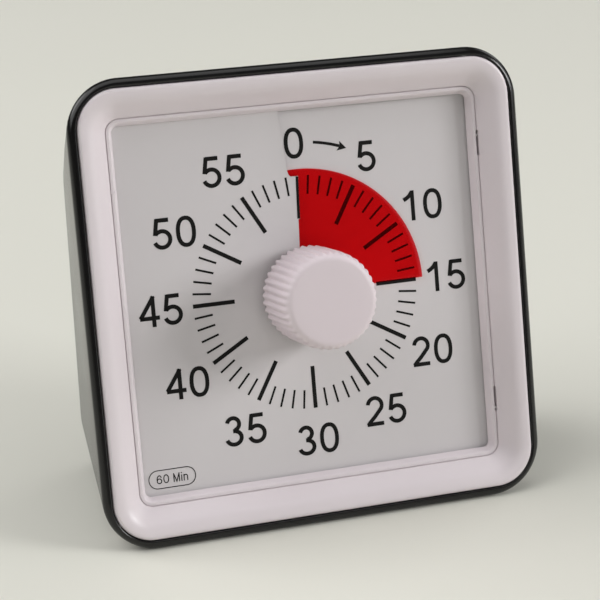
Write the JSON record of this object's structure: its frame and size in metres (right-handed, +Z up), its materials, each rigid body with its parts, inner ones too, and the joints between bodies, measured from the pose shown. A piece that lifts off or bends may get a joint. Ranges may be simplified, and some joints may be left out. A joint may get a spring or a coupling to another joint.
{
  "type": "desk countdown timer",
  "caption": "Square countdown timer that leans back on its wedge case; a ridged knob winds a red film over a minute dial to show the time left.",
  "frame": {"origin": "on the surface that the timer stands on, under the middle of its bounding box", "axes": "+X to the right seen from the front, -Y out of the front towards the user, +Z up; the dial leans back by 16 degrees"},
  "size_m": [0.0782, 0.0364, 0.0752],
  "materials": {
    "bezel_white": "fine satin moulding, faintly pink white",
    "knob_white": "satin",
    "case_black": "glossy",
    "dial_card": "printed matte card",
    "film_red": "thin see-through red film",
    "inner_white": "plain moulding",
    "natural_plastic": "uncoloured acetal",
    "brass": "bright",
    "steel": "bright zinc",
    "copper": "enamelled winding",
    "magnet": "sintered",
    "board_green": "solder resist",
    "part_black": "matte",
    "slider_grey": "matte",
    "battery_wrap": "plain printed sleeve",
    "wire_red": "insulation",
    "wire_blue": "insulation"
  },
  "bodies": {
    "housing": {"front_bezel": "bezel_white", "rear_case": "case_black", "dial_plate": "inner_white", "dial_sheet": "dial_card", "stator": "steel", "coil_bobbin": "natural_plastic", "coil_core": "steel", "coil_winding": "copper", "movement_base": "inner_white", "movement_cover": "inner_white", "movement_screws": "brass", "circuit_board": "board_green", "control_chip": "part_black", "quartz_crystal": "steel", "alarm_contact": "brass", "buzzer": "part_black", "switch_body": "steel", "battery": "battery_wrap", "battery_spring": "steel", "battery_contact": "steel", "case_screws": "steel", "board_screws": "steel", "battery_wires": "wire_red", "buzzer_wires": "wire_red", "switch_wires": "wire_blue", "coil_wires": "copper"},
    "knob": {"knob": "knob_white", "knob_shaft": "natural_plastic", "clutch_spring": "brass", "alarm_cam": "natural_plastic"},
    "film": {"red_film": "film_red", "film_hub": "natural_plastic"},
    "output_wheel": {"output_wheel": "natural_plastic"},
    "third_wheel": {"third_wheel": "natural_plastic"},
    "seconds_wheel": {"seconds_wheel": "natural_plastic"},
    "intermediate_wheel": {"intermediate_wheel": "natural_plastic"},
    "rotor": {"rotor": "natural_plastic", "rotor_magnet": "magnet"},
    "sound_slider": {"sound_slider": "slider_grey"},
    "battery_cover": {"battery_cover": "case_black"}
  },
  "joints": [
    {"name": "knob_turn", "type": "hinge", "parent": "housing", "child": "knob", "pos_m": [0, -0.00233, 0.03662], "axis": [0, 0.9613, -0.2756], "range_deg": [-90, 270]},
    {"name": "film_screw", "type": "slide", "parent": "knob", "child": "film", "axis": [0, -0.9613, 0.2756], "range_m": [-0.00026, 0.00076]},
    {"name": "output_spin", "type": "hinge", "parent": "housing", "child": "output_wheel", "pos_m": [0, 0.00343, 0.03497], "axis": [0, -0.9613, 0.2756], "continuous": true},
    {"name": "third_spin", "type": "hinge", "parent": "housing", "child": "third_wheel", "pos_m": [0.01044, 0.00545, 0.042], "axis": [0, -0.9613, 0.2756], "continuous": true},
    {"name": "seconds_spin", "type": "hinge", "parent": "housing", "child": "seconds_wheel", "pos_m": [0.00304, 0.00686, 0.04692], "axis": [0, -0.9613, 0.2756], "continuous": true},
    {"name": "intermediate_spin", "type": "hinge", "parent": "housing", "child": "intermediate_wheel", "pos_m": [-0.00395, 0.00679, 0.04667], "axis": [0, -0.9613, 0.2756], "continuous": true},
    {"name": "rotor_spin", "type": "hinge", "parent": "housing", "child": "rotor", "pos_m": [-0.00907, 0.00592, 0.04365], "axis": [0, -0.9613, 0.2756], "continuous": true},
    {"name": "sound_slide", "type": "slide", "parent": "housing", "child": "sound_slider", "axis": [1, 0, 0], "range_m": [-0.002, 0.002]},
    {"name": "battery_cover_pull", "type": "slide", "parent": "housing", "child": "battery_cover", "axis": [0, 1, 0], "range_m": [0, 0.03]}
  ],
  "couplings": [
    {"joint": "film_screw", "follows": "knob_turn", "m_per_rad": 0.00015915},
    {"joint": "intermediate_spin", "follows": "rotor_spin", "ratio": -0.2},
    {"joint": "seconds_spin", "follows": "rotor_spin", "ratio": 0.033333},
    {"joint": "third_spin", "follows": "rotor_spin", "ratio": -0.0041667},
    {"joint": "output_spin", "follows": "rotor_spin", "ratio": 0.00055556}
  ]
}
